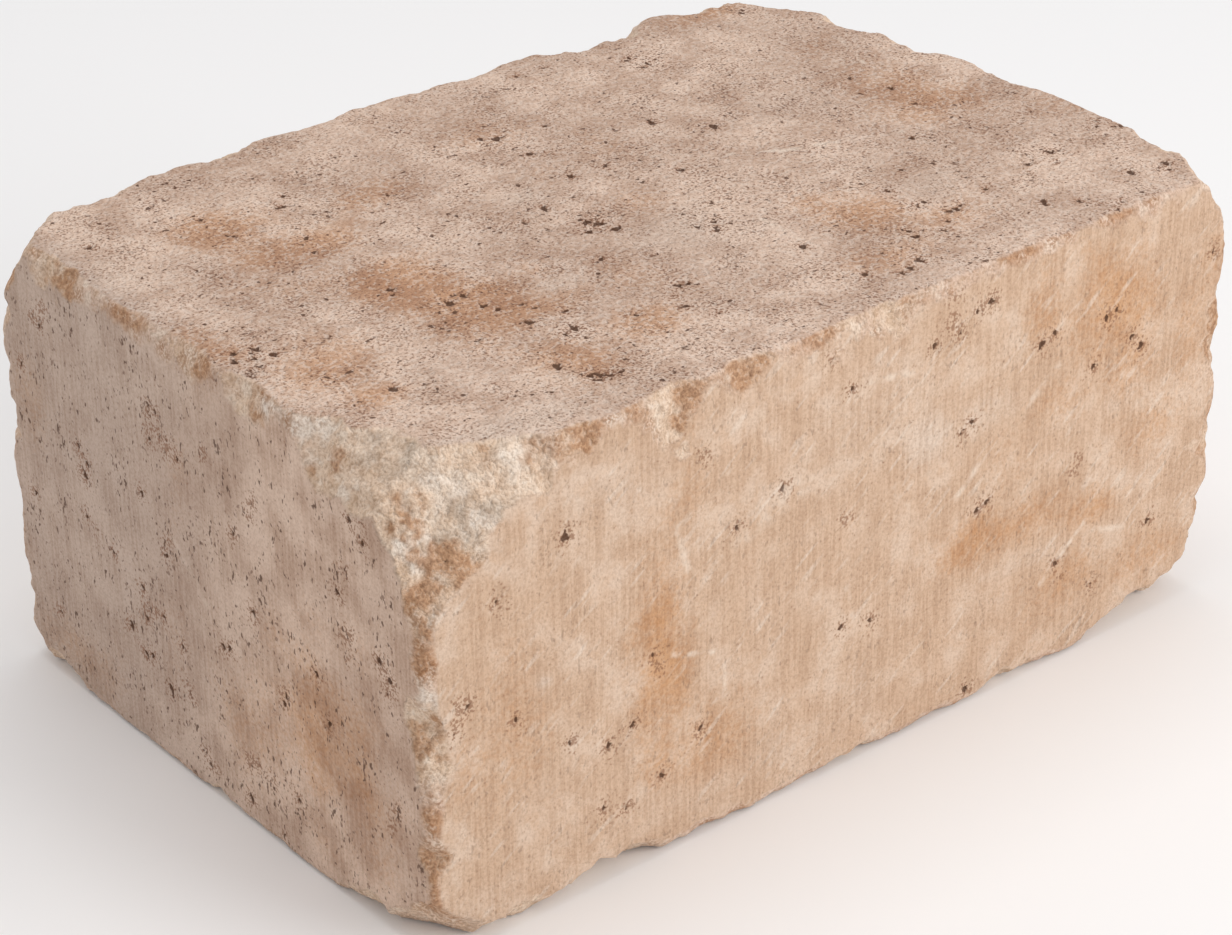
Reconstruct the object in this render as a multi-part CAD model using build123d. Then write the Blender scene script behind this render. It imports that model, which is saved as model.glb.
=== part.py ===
from build123d import *

import os
from dataclasses import dataclass
from math import pi, sin

# Tumbled wall block, one casting in dense concrete, in millimetres.
# It lies on its bed face with +Z up, and the origin is the middle of that face.
# The long face is at the front (-Y) and its two ends are at left and right (-X and +X).

# The block as it leaves the mould
LENGTH = 290.0
DEPTH = 200.0
HEIGHT = 140.0

# Wear of an arris between its chips: two slow waves along it, as shares of its reach,
# which start at so many times the phase of the arris
LONG_WAVE = 41.0
LONG_SWING = 0.24
LONG_START = 3
SHORT_WAVE = 15.0
SHORT_SWING = 0.16
SHORT_START = 7

# Where the middle of a worn arris stands, as a share of its two reaches:
# a rubbed arris is crowned, and a broken one is almost flat across
RUBBED_CROWN = 0.33
BROKEN_CROWN = 0.47

# Facets of the worn surface: their usual length along an arris, and how far it varies
# from one facet to the next, as a sine that moves on by so many radians each time
FACET_LENGTH = 6.5
FACET_SWING = 0.22
FACET_STEP = 2.4

# How steeply a chip falls away at its two ends: 1 is a plain triangle
CHIP_STEEPNESS = 1.7

# Every cut starts this far outside the block
CUT_START = 1.0


@dataclass(frozen=True)
class Chip:
    """A broken place on an arris.

    at is its middle, as a share of the arris from its left, front or lower end,
    width its length along the arris, and reach how far it goes in from each side."""

    at: float
    width: float
    reach: tuple


@dataclass(frozen=True)
class Arris:
    """An edge between two sides of the block, rubbed round and chipped.

    reach is how far the wear goes in from each of the two sides."""

    sides: tuple
    reach: tuple
    phase: float
    chips: tuple = ()


@dataclass(frozen=True)
class Knock:
    """A corner knocked off by one flat break, with its reach in from each side."""

    sides: tuple
    reach: tuple


# Size of the block along each axis, and the side at the near end of that axis
SIZES = {"x": LENGTH, "y": DEPTH, "z": HEIGHT}
NEAR_SIDES = {"x": "left", "y": "front", "z": "bed"}

# Axis of each side of the block, and whether it is the far side of that axis
SIDES = {
    "left": ("x", False),
    "right": ("x", True),
    "front": ("y", False),
    "back": ("y", True),
    "bed": ("z", False),
    "top": ("z", True),
}

ARRISES = (
    Arris(("front", "top"), (1.8, 4.5), 0.4, (
        Chip(0.03, 36, (20, 12)),
        Chip(0.12, 24, (8, 15)),
        Chip(0.18, 12, (3, 10)),
        Chip(0.28, 22, (4, 17)),
        Chip(0.365, 20, (3, 14)),
        Chip(0.485, 14, (2.5, 10)),
        Chip(0.535, 16, (3, 13)),
    )),
    Arris(("back", "top"), (3.2, 5.0), 1.3, (
        Chip(0.11, 34, (7.5, 7.5)),
        Chip(0.265, 24, (6.5, 7)),
        Chip(0.58, 20, (6, 6)),
        Chip(0.735, 46, (10.5, 12)),
        Chip(0.77, 12, (13, 14)),
        Chip(0.90, 44, (11, 12)),
    )),
    Arris(("front", "bed"), (4.2, 3.4), 2.1, (
        Chip(0.09, 40, (7.5, 6)),
        Chip(0.20, 46, (11.5, 8.2)),
        Chip(0.50, 20, (6.3, 4.8)),
        Chip(0.72, 22, (6.2, 4.8)),
        Chip(0.93, 64, (12.5, 10)),
    )),
    Arris(("back", "bed"), (4.8, 4.4), 3.0, (
        Chip(0.23, 30, (9, 8)),
        Chip(0.66, 26, (8, 11)),
    )),
    Arris(("left", "top"), (2.8, 7.0), 0.9, (
        Chip(0.12, 34, (18, 16)),
        Chip(0.20, 26, (9, 19)),
        Chip(0.365, 15, (5, 13.5)),
        Chip(0.50, 13, (4, 10)),
        Chip(0.83, 26, (5, 10)),
    )),
    Arris(("right", "top"), (1.7, 4.6), 1.9, (
        Chip(0.12, 30, (7, 8)),
        Chip(0.45, 22, (5, 6)),
        Chip(0.645, 30, (9.5, 9)),
        Chip(0.775, 40, (12.5, 12)),
    )),
    Arris(("left", "bed"), (2.2, 2.4), 2.6, (
        Chip(0.14, 34, (6.5, 7)),
        Chip(0.51, 14, (4.4, 4.6)),
        Chip(0.91, 26, (5.6, 6)),
    )),
    Arris(("right", "bed"), (4.6, 5.0), 3.4, (
        Chip(0.22, 30, (11, 9)),
        Chip(0.60, 24, (8, 9)),
    )),
    Arris(("left", "front"), (3.6, 4.4), 0.2, (
        Chip(0.24, 12, (5.5, 6.5)),
        Chip(0.43, 14, (8, 6)),
        Chip(0.53, 14, (5, 9.5)),
        Chip(0.78, 18, (6.5, 7.5)),
    )),
    Arris(("right", "front"), (1.8, 1.8), 1.1, (
        Chip(0.18, 28, (6.5, 6.5)),
        Chip(0.37, 16, (7, 2.4)),
        Chip(0.65, 44, (9.5, 2.6)),
    )),
    Arris(("left", "back"), (3.6, 3.2), 2.3, (
        Chip(0.155, 10, (5, 5)),
        Chip(0.57, 14, (6, 8.5)),
        Chip(0.69, 14, (5, 6)),
        Chip(0.84, 24, (7, 9)),
    )),
    Arris(("right", "back"), (5.0, 4.4), 0.7, (
        Chip(0.34, 24, (9, 8)),
        Chip(0.72, 30, (10, 11)),
    )),
)

KNOCKS = (
    Knock(("left", "front", "top"), (46, 30, 42)),
    Knock(("right", "front", "top"), (16, 27, 18)),
    Knock(("right", "front", "top"), (9, 11, 28)),
    Knock(("left", "back", "top"), (24, 23, 28)),
    Knock(("left", "back", "top"), (9, 13, 44)),
    Knock(("right", "back", "top"), (32, 50, 30)),
    Knock(("right", "back", "top"), (46, 22, 26)),
    Knock(("left", "front", "bed"), (21, 31, 20)),
    Knock(("right", "front", "bed"), (46, 17, 18)),
    Knock(("right", "front", "bed"), (17, 20, 30)),
    Knock(("left", "back", "bed"), (12, 13, 16)),
    Knock(("right", "back", "bed"), (20, 15, 18)),
)


def from_sides(depths):
    """Point at a depth in from three sides, given as a depth for each side's name."""
    place = {"x": -LENGTH / 2, "y": -DEPTH / 2, "z": 0.0}
    for side, depth in depths.items():
        axis, is_far = SIDES[side]
        place[axis] += SIZES[axis] - depth if is_far else depth
    return Vector(place["x"], place["y"], place["z"])


def flat_sided_solid(faces):
    """Closed solid from flat faces, each a list of its corners."""
    return Solid(Shell([Face(Wire.make_polygon(corners, close=True)) for corners in faces]))


def run_of(arris):
    """Side at the near end of an arris, and the length of the arris."""
    axes_across = [SIDES[side][0] for side in arris.sides]
    along = next(axis for axis in SIZES if axis not in axes_across)
    return NEAR_SIDES[along], SIZES[along]


def facet_ends(length, phase):
    """Places along an arris where its facets meet, unevenly spaced, past both ends."""
    count = round(length / FACET_LENGTH)
    spacing = length / count
    between = [
        spacing * (number + FACET_SWING * sin(FACET_STEP * number + phase))
        for number in range(1, count)
    ]
    return [-CUT_START, *between, length + CUT_START]


def wear_at(arris, place, length):
    """How far the wear reaches in from each side at one place, and its crown there."""
    wave = LONG_SWING * sin(2 * pi * place / LONG_WAVE + LONG_START * arris.phase)
    wave += SHORT_SWING * sin(2 * pi * place / SHORT_WAVE + SHORT_START * arris.phase)
    reach = [side_reach * (1 + wave) for side_reach in arris.reach]
    freshness = 0.0
    for chip in arris.chips:
        off_middle = abs(place - chip.at * length) / (chip.width / 2)
        depth = min(1.0, CHIP_STEEPNESS * max(0.0, 1 - off_middle))
        freshness = max(freshness, depth)
        for index in range(2):
            chipped = arris.reach[index] + depth * (chip.reach[index] - arris.reach[index])
            if depth > 0:
                reach[index] = max(reach[index], chipped)
    crown = RUBBED_CROWN + freshness * (BROKEN_CROWN - RUBBED_CROWN)
    return reach, crown


def arris_section(arris, place):
    """Four corners of the material worn off an arris at one place along it.

    They are its outer corner, the break line on each side carried past the surface,
    and between these two the crown of the worn surface."""
    near_end, length = run_of(arris)
    first, second = arris.sides
    (first_reach, second_reach), crown = wear_at(arris, place, length)
    flare = CUT_START * (1 - crown) / crown
    section = (
        (-CUT_START, -CUT_START),
        (first_reach + flare * first_reach / second_reach, -CUT_START),
        (crown * first_reach, crown * second_reach),
        (-CUT_START, second_reach + flare * second_reach / first_reach),
    )
    return [
        from_sides({near_end: place, first: first_depth, second: second_depth})
        for first_depth, second_depth in section
    ]


def worn_arris(arris):
    """Material worn off one arris, carried section by section from end to end."""
    length = run_of(arris)[1]
    sections = [arris_section(arris, place) for place in facet_ends(length, arris.phase)]
    faces = [sections[0], sections[-1]]
    for here, there in zip(sections, sections[1:]):
        here_after = here[1:] + here[:1]
        there_after = there[1:] + there[:1]
        for near, near_after, far, far_after in zip(here, here_after, there, there_after):
            faces.append([near, near_after, far_after])
            faces.append([near, far_after, far])
    return flat_sided_solid(faces)


def knocked_corner(knock):
    """Material knocked off one corner: a tetrahedron on its three sides."""
    outside = {side: -CUT_START for side in knock.sides}
    beyond = 1 + sum(CUT_START / reach for reach in knock.reach)
    tips = [from_sides(outside)]
    for side, reach in zip(knock.sides, knock.reach):
        share_outside = beyond - CUT_START / reach
        tips.append(from_sides({**outside, side: reach * share_outside}))
    faces = [[tip for tip in tips if tip is not left_out] for left_out in tips]
    return flat_sided_solid(faces)


def wall_block():
    """The moulded block, less what tumbling took off its arrises and corners."""
    block = Pos(0, 0, HEIGHT / 2) * Box(LENGTH, DEPTH, HEIGHT)
    block -= [worn_arris(arris) for arris in ARRISES]
    block -= [knocked_corner(knock) for knock in KNOCKS]
    return block


os.makedirs("parts", exist_ok=True)
export_step(wall_block(), "parts/wall_block.step")
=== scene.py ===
import logging
import math
from dataclasses import dataclass, field
from enum import Enum

import bpy
import numpy as np
from mathutils import Matrix, Vector


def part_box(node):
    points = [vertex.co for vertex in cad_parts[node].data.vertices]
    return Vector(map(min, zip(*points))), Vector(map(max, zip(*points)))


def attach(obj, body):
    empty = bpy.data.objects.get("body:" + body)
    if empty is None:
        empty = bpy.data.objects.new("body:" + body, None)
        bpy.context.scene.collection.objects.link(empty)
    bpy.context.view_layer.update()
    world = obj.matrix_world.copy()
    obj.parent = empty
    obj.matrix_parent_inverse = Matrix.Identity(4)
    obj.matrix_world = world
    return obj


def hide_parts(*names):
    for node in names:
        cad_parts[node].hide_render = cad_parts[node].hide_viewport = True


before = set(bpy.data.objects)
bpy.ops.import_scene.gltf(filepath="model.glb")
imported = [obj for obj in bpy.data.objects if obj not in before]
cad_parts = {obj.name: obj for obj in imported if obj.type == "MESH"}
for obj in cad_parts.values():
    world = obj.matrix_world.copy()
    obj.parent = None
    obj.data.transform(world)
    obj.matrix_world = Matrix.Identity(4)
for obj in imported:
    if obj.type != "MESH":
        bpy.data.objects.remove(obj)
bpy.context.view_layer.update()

# Tumbled wall block of dense dry-cast concrete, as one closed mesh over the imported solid.
# Lengths are millimetres from the block's lower left front corner, and become metres in
# the row frame only when the mesh is written.

LOG = logging.getLogger("wall_block")
METRES = 0.001
NODE = "wall_block"

SPACING = 0.85

# Brings the lattice noise to about -1 to 1, and parts the seeds of layered noises
NOISE_GAIN = 1.6
SEED_STEP = 17

Array = np.ndarray


def linear_colour(code: str) -> tuple[float, float, float, float]:
    """Turns an sRGB hex colour into a linear one.

    Args:
        code: six hex digits, red first.

    Returns:
        Linear red, green and blue, and an alpha of one.
    """
    shares = [int(code[start:start + 2], 16) / 255 for start in (0, 2, 4)]
    linear = [c / 12.92 if c <= 0.04045 else ((c + 0.055) / 1.055) ** 2.4 for c in shares]
    return (*linear, 1.0)


def ease(low: float, high: float, value: Array) -> Array:
    """Smooth step from 0 at low to 1 at high.

    Args:
        low: value where the step starts.
        high: value where it ends.
        value: values to place on the step.

    Returns:
        3t^2 - 2t^3 of each value's share t of the way from low to high.
    """
    share = np.clip((value - low) / (high - low), 0.0, 1.0)
    return share * share * (3 - 2 * share)


def shuffled_bits(cells: Array, seed: int) -> Array:
    """Random whole numbers for whole-number cells.

    Args:
        cells: (n, 3) whole-number cell coordinates.
        seed: picks one of many patterns.

    Returns:
        (n,) unsigned 32-bit numbers: the coordinates times odd constants, mixed by shifts.
    """
    parts = cells.astype(np.int64).astype(np.uint32)
    bits = parts[:, 0] * np.uint32(0x9E3779B1) ^ parts[:, 1] * np.uint32(0x85EBCA77)
    bits ^= parts[:, 2] * np.uint32(0xC2B2AE3D)
    bits ^= np.uint32(seed * 0x27D4EB2F & 0xFFFFFFFF)
    bits ^= bits >> np.uint32(15)
    bits *= np.uint32(0x2C1B3C6D)
    bits ^= bits >> np.uint32(12)
    bits *= np.uint32(0x297A2D39)
    bits ^= bits >> np.uint32(15)
    return bits


def three_shares(bits: Array) -> Array:
    """Splits random bits into three numbers from 0 to 1.

    Args:
        bits: (n,) unsigned 32-bit numbers.

    Returns:
        (n, 3) shares, from ten bits each.
    """
    largest = 2 ** 10 - 1
    parts = [bits >> np.uint32(shift) & np.uint32(largest) for shift in (0, 10, 20)]
    return np.stack([part / largest for part in parts], 1)


def lattice_noise(points: Array, cell: float, seed: int) -> Array:
    """Gradient noise: a random slope at each lattice corner, blended by fifth-power fades.

    Args:
        points: (n, 3) places in millimetres.
        cell: lattice spacing in millimetres, about the width of one bump.
        seed: picks one of many patterns.

    Returns:
        (n,) values of about -1 to 1, with a mean of zero.
    """
    scaled = points / cell
    floor = np.floor(scaled)
    inside = scaled - floor
    fade = inside ** 3 * (inside * (inside * 6 - 15) + 10)
    total = np.zeros(len(points))
    for corner in np.ndindex(2, 2, 2):
        step = np.array(corner)
        slope = three_shares(shuffled_bits(floor + step, seed)) * 2 - 1
        weight = np.prod(np.where(step == 1, fade, 1 - fade), axis=1)
        total += weight * np.einsum("ij,ij->i", slope, inside - step)
    return total * NOISE_GAIN


def layered_noise(points: Array, cell: float, layers: int, seed: int) -> Array:
    """Sum of lattice noises, each half as wide and half as strong as the one before.

    Args:
        points: (n, 3) places in millimetres.
        cell: width of the widest bumps in millimetres.
        layers: how many noises are added.
        seed: picks one of many patterns.

    Returns:
        (n,) values of about -1 to 1.
    """
    total = np.zeros(len(points))
    for layer in range(layers):
        total += lattice_noise(points, cell / 2 ** layer, seed + SEED_STEP * layer) / 2 ** layer
    return total / (2 - 2 ** (1 - layers))


def stone_dome(points: Array, cell: float, seed: int) -> Array:
    """Rounded stones packed edge to edge: one minus the distance to the nearest stone's middle.

    Args:
        points: (n, 3) places in millimetres.
        cell: usual stone width in millimetres.
        seed: picks one of many patterns.

    Returns:
        (n,) values from 0 between the stones to 1 on top of each.
    """
    scaled = points / cell
    floor = np.floor(scaled)
    nearest = np.full(len(points), np.inf)
    for corner in np.ndindex(3, 3, 3):
        home = floor + np.array(corner) - 1
        middle = home + three_shares(shuffled_bits(home, seed))
        nearest = np.minimum(nearest, ((scaled - middle) ** 2).sum(1))
    return 1 - np.clip(np.sqrt(nearest), 0, 1)


@dataclass(frozen=True)
class Bumps:
    """One kind of noise: its width in millimetres, its layers, its seed and its height."""

    width: float
    layers: int
    seed: int
    height: float = 1.0

    def at(self, points: Array) -> Array:
        """Noise of this kind at each place, about -1 to 1."""
        return layered_noise(points, self.width, self.layers, self.seed)

    def bend(self, points: Array) -> Array:
        """Places moved along each axis by a noise of its own times the height."""
        noises = [layered_noise(points, self.width, self.layers, self.seed + axis) for axis in range(3)]
        return points + self.height * np.stack(noises, 1)


@dataclass(frozen=True)
class Fade:
    """How a stain ends: where it starts to show and is whole, as shares of its reach.

    The distance is made uneven by a noise times wander."""

    none: float
    whole: float
    wander: float

    def strength(self, off: Array, noise: Array) -> Array:
        """Strength from 0 to 1 at a distance, as a share of the stain's reach."""
        return ease(self.none, self.whole, off + self.wander * noise)


class Side(Enum):
    """A side of the block: the axis that it faces along, and whether it is the far one."""

    LEFT = (0, False)
    RIGHT = (0, True)
    FRONT = (1, False)
    BACK = (1, True)
    BED = (2, False)
    TOP = (2, True)

    @property
    def axis(self) -> int:
        """Number of the axis that the side faces along."""
        return self.value[0]

    @property
    def is_far(self) -> bool:
        """Whether the side is at the high end of its axis."""
        return self.value[1]


@dataclass(frozen=True)
class Chip:
    """A broken place on an arris, as in the solid."""

    at: float
    width: float
    reach: tuple[float, float]


@dataclass(frozen=True)
class Arris:
    """An edge between two sides, rubbed round and chipped, as in the solid."""

    sides: tuple[Side, Side]
    reach: tuple[float, float]
    phase: float
    chips: tuple[Chip, ...] = ()


@dataclass(frozen=True)
class Knock:
    """A corner knocked off by one break, and how fresh that break looks."""

    sides: tuple[Side, Side, Side]
    reach: tuple[float, float, float]
    freshness: float = 0.55


ARRISES = (
    Arris((Side.FRONT, Side.TOP), (1.8, 4.5), 0.4, (
        Chip(0.03, 36, (20, 12)),
        Chip(0.12, 24, (8, 15)),
        Chip(0.18, 12, (3, 10)),
        Chip(0.28, 22, (4, 17)),
        Chip(0.365, 20, (3, 14)),
        Chip(0.485, 14, (2.5, 10)),
        Chip(0.535, 16, (3, 13)),
    )),
    Arris((Side.BACK, Side.TOP), (3.2, 5.0), 1.3, (
        Chip(0.11, 34, (7.5, 7.5)),
        Chip(0.265, 24, (6.5, 7)),
        Chip(0.58, 20, (6, 6)),
        Chip(0.735, 46, (10.5, 12)),
        Chip(0.77, 12, (13, 14)),
        Chip(0.90, 44, (11, 12)),
    )),
    Arris((Side.FRONT, Side.BED), (4.2, 3.4), 2.1, (
        Chip(0.09, 40, (7.5, 6)),
        Chip(0.20, 46, (11.5, 8.2)),
        Chip(0.50, 20, (6.3, 4.8)),
        Chip(0.72, 22, (6.2, 4.8)),
        Chip(0.93, 64, (12.5, 10)),
    )),
    Arris((Side.BACK, Side.BED), (4.8, 4.4), 3.0, (
        Chip(0.23, 30, (9, 8)),
        Chip(0.66, 26, (8, 11)),
    )),
    Arris((Side.LEFT, Side.TOP), (2.8, 7.0), 0.9, (
        Chip(0.12, 34, (18, 16)),
        Chip(0.20, 26, (9, 19)),
        Chip(0.365, 15, (5, 13.5)),
        Chip(0.50, 13, (4, 10)),
        Chip(0.83, 26, (5, 10)),
    )),
    Arris((Side.RIGHT, Side.TOP), (1.7, 4.6), 1.9, (
        Chip(0.12, 30, (7, 8)),
        Chip(0.45, 22, (5, 6)),
        Chip(0.645, 30, (9.5, 9)),
        Chip(0.775, 40, (12.5, 12)),
    )),
    Arris((Side.LEFT, Side.BED), (2.2, 2.4), 2.6, (
        Chip(0.14, 34, (6.5, 7)),
        Chip(0.51, 14, (4.4, 4.6)),
        Chip(0.91, 26, (5.6, 6)),
    )),
    Arris((Side.RIGHT, Side.BED), (4.6, 5.0), 3.4, (
        Chip(0.22, 30, (11, 9)),
        Chip(0.60, 24, (8, 9)),
    )),
    Arris((Side.LEFT, Side.FRONT), (3.6, 4.4), 0.2, (
        Chip(0.24, 12, (5.5, 6.5)),
        Chip(0.43, 14, (8, 6)),
        Chip(0.53, 14, (5, 9.5)),
        Chip(0.78, 18, (6.5, 7.5)),
    )),
    Arris((Side.RIGHT, Side.FRONT), (1.8, 1.8), 1.1, (
        Chip(0.18, 28, (6.5, 6.5)),
        Chip(0.37, 16, (7, 2.4)),
        Chip(0.65, 44, (9.5, 2.6)),
    )),
    Arris((Side.LEFT, Side.BACK), (3.6, 3.2), 2.3, (
        Chip(0.155, 10, (5, 5)),
        Chip(0.57, 14, (6, 8.5)),
        Chip(0.69, 14, (5, 6)),
        Chip(0.84, 24, (7, 9)),
    )),
    Arris((Side.RIGHT, Side.BACK), (5.0, 4.4), 0.7, (
        Chip(0.34, 24, (9, 8)),
        Chip(0.72, 30, (10, 11)),
    )),
)

KNOCKS = (
    Knock((Side.LEFT, Side.FRONT, Side.TOP), (46, 30, 42), 1.0),
    Knock((Side.RIGHT, Side.FRONT, Side.TOP), (16, 27, 18)),
    Knock((Side.RIGHT, Side.FRONT, Side.TOP), (9, 11, 28)),
    Knock((Side.LEFT, Side.BACK, Side.TOP), (24, 23, 28)),
    Knock((Side.LEFT, Side.BACK, Side.TOP), (9, 13, 44)),
    Knock((Side.RIGHT, Side.BACK, Side.TOP), (32, 50, 30)),
    Knock((Side.RIGHT, Side.BACK, Side.TOP), (46, 22, 26)),
    Knock((Side.LEFT, Side.FRONT, Side.BED), (21, 31, 20)),
    Knock((Side.RIGHT, Side.FRONT, Side.BED), (46, 17, 18)),
    Knock((Side.RIGHT, Side.FRONT, Side.BED), (17, 20, 30)),
    Knock((Side.LEFT, Side.BACK, Side.BED), (12, 13, 16)),
    Knock((Side.RIGHT, Side.BACK, Side.BED), (20, 15, 18)),
)


@dataclass(frozen=True)
class WearHabit:
    """How tumbling wears an arris, with the same values as the solid.

    Two waves of the reach start at so many times the arris's phase, and the length of a
    facet swings by a sine that moves on by so many radians from one to the next."""

    long_wave: float = 41.0
    long_swing: float = 0.24
    long_start: float = 3.0
    short_wave: float = 15.0
    short_swing: float = 0.16
    short_start: float = 7.0
    rubbed_crown: float = 0.33
    broken_crown: float = 0.47
    facet_length: float = 6.5
    facet_swing: float = 0.22
    facet_step: float = 2.4
    chip_steepness: float = 1.7


@dataclass(frozen=True)
class WornArris:
    """Wear of one arris at the places along it where its facets meet."""

    arris: Arris
    size: tuple[float, float, float]
    habit: WearHabit = WearHabit()

    def along_axis(self) -> int:
        """Number of the axis that the arris runs along."""
        return ({0, 1, 2} - {side.axis for side in self.arris.sides}).pop()

    def facet_ends(self) -> Array:
        """Places along the arris where facets meet.

        Returns:
            Even spacing plus a share of it times a sine of the facet's number.
        """
        habit, length = self.habit, self.size[self.along_axis()]
        count = round(length / habit.facet_length)
        number = np.arange(1, count)
        wander = habit.facet_swing * np.sin(habit.facet_step * number + self.arris.phase)
        return np.concatenate([[0.0], length / count * (number + wander), [length]])

    def wear(self) -> tuple[Array, Array, Array, Array]:
        """Reach from each side, crown and freshness at the facet ends.

        Returns:
            The reaches, which are the arris's own times one plus two sines of the place,
            or a chip's where that is more, then the crown share and the freshness.
        """
        habit, place = self.habit, self.facet_ends()
        length = self.size[self.along_axis()]
        phase = self.arris.phase
        waves = (
            (habit.long_swing, habit.long_wave, habit.long_start),
            (habit.short_swing, habit.short_wave, habit.short_start),
        )
        turns = 2 * np.pi * place
        wave = sum(swing * np.sin(turns / width + start * phase) for swing, width, start in waves)
        reaches = [own * (1 + wave) for own in self.arris.reach]
        freshness = np.zeros_like(place)
        for chip in self.arris.chips:
            off_middle = np.abs(place - chip.at * length) / (chip.width / 2)
            depth = np.minimum(1.0, habit.chip_steepness * np.maximum(0.0, 1 - off_middle))
            freshness = np.maximum(freshness, depth)
            for index, own in enumerate(self.arris.reach):
                chipped = np.where(depth > 0, own + depth * (chip.reach[index] - own), 0.0)
                reaches[index] = np.maximum(reaches[index], chipped)
        crown = habit.rubbed_crown + freshness * (habit.broken_crown - habit.rubbed_crown)
        return reaches[0], reaches[1], crown, freshness


@dataclass
class WornForm:
    """The block's form: a cuboid less the wear of its arrises and its knocked corners."""

    size: tuple[float, float, float]
    worn: list[WornArris] = field(init=False)

    def __post_init__(self) -> None:
        """Works out the wear of every arris once."""
        self.worn = [WornArris(arris, self.size) for arris in ARRISES]

    def depth_from(self, side: Side, points: Array) -> Array:
        """Distance in from one side.

        Args:
            side: the side to measure from.
            points: (n, 3) places in millimetres.

        Returns:
            (n,) distances, positive inside the block.
        """
        along = points[:, side.axis]
        return self.size[side.axis] - along if side.is_far else along

    def depth_below_sides(self, points: Array) -> Array:
        """Distance in from the nearest of the six sides.

        Args:
            points: (n, 3) places in millimetres.

        Returns:
            (n,) distances, positive inside the block.
        """
        return np.min([self.depth_from(side, points) for side in Side], axis=0)

    def depth_below_breaks(self, points: Array) -> tuple[Array, Array]:
        """Distance in from the nearest worn arris or knocked corner.

        Across an arris the worn surface is two planes that meet at its crown, and a knock
        is the plane u/a + v/b + w/c = 1 through its three reaches.

        Args:
            points: (n, 3) places in millimetres.

        Returns:
            (n,) distances, positive inside the block, and (n,) freshness of that break.
        """
        nearest = np.full(len(points), np.inf)
        freshness = np.zeros(len(points))
        for worn in self.worn:
            first, second, crown, fresh = worn.wear()
            ends = worn.facet_ends()
            place = points[:, worn.along_axis()]
            first, second, crown, fresh = (
                np.interp(place, ends, values) for values in (first, second, crown, fresh)
            )
            u = self.depth_from(worn.arris.sides[0], points)
            v = self.depth_from(worn.arris.sides[1], points)
            rise, run = crown * second, (1 - crown) * first
            near_first = ((u - first) * rise + v * run) / np.hypot(rise, run)
            rise, run = (1 - crown) * second, crown * first
            near_second = (u * rise + (v - second) * run) / np.hypot(rise, run)
            depth = np.minimum(near_first, near_second)
            freshness = np.where(depth < nearest, fresh, freshness)
            nearest = np.minimum(nearest, depth)
        for knock in KNOCKS:
            slopes = 1 / np.array(knock.reach)
            depths = np.stack([self.depth_from(side, points) for side in knock.sides], 1)
            depth = (depths @ slopes - 1) / np.linalg.norm(slopes)
            freshness = np.where(depth < nearest, knock.freshness, freshness)
            nearest = np.minimum(nearest, depth)
        return nearest, freshness


@dataclass(frozen=True)
class Pit:
    """A blow hole in a side: where it is, its half width, its stretch and its depth."""

    at: tuple[float, float]
    radius: float
    stretch: float = 1.3
    turn: float = 70.0
    depth: float = 0.7


@dataclass(frozen=True)
class PitSpread:
    """Clusters of blow holes over one side."""

    side: Side
    clusters: int
    per_cluster: int
    cluster_reach: float
    radius: tuple[float, float]
    depth: float
    turn: float = 90.0
    turn_spread: float = 22.0


@dataclass(frozen=True)
class PitShape:
    """What all blow holes share: a ragged rim, a flat bowl and gritty stained ground round it.

    The rim swings in and out in lobes, each so often round, by so much, and started at
    so many times the radius. The ring of stained ground grows with the radius. Radii
    drawn at random are raised to a power, which makes small holes commoner."""

    stretches: tuple[float, float] = (1.0, 1.9)
    radius_power: float = 1.5
    lobes: tuple[tuple[int, float, int], ...] = ((3, 0.24, 9), (5, 0.14, 31))
    bowl_power: int = 4
    widest: float = 1.5
    ring_start: float = 4.0
    ring_growth: float = 3.0
    ring_strength: float = 0.6


PIT_SPREADS = (
    PitSpread(Side.FRONT, 14, 2, 6.0, (0.5, 0.8), 0.6),
    PitSpread(Side.BACK, 22, 3, 8.0, (0.6, 1.2), 0.8),
    PitSpread(Side.LEFT, 20, 3, 7.0, (0.5, 0.8), 0.7),
    PitSpread(Side.RIGHT, 26, 4, 8.0, (0.6, 1.1), 0.8),
    PitSpread(Side.TOP, 26, 3, 7.0, (0.6, 1.1), 0.7, 40.0, 60.0),
    PitSpread(Side.BED, 36, 3, 7.0, (0.6, 1.1), 0.7, 40.0, 60.0),
)

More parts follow.
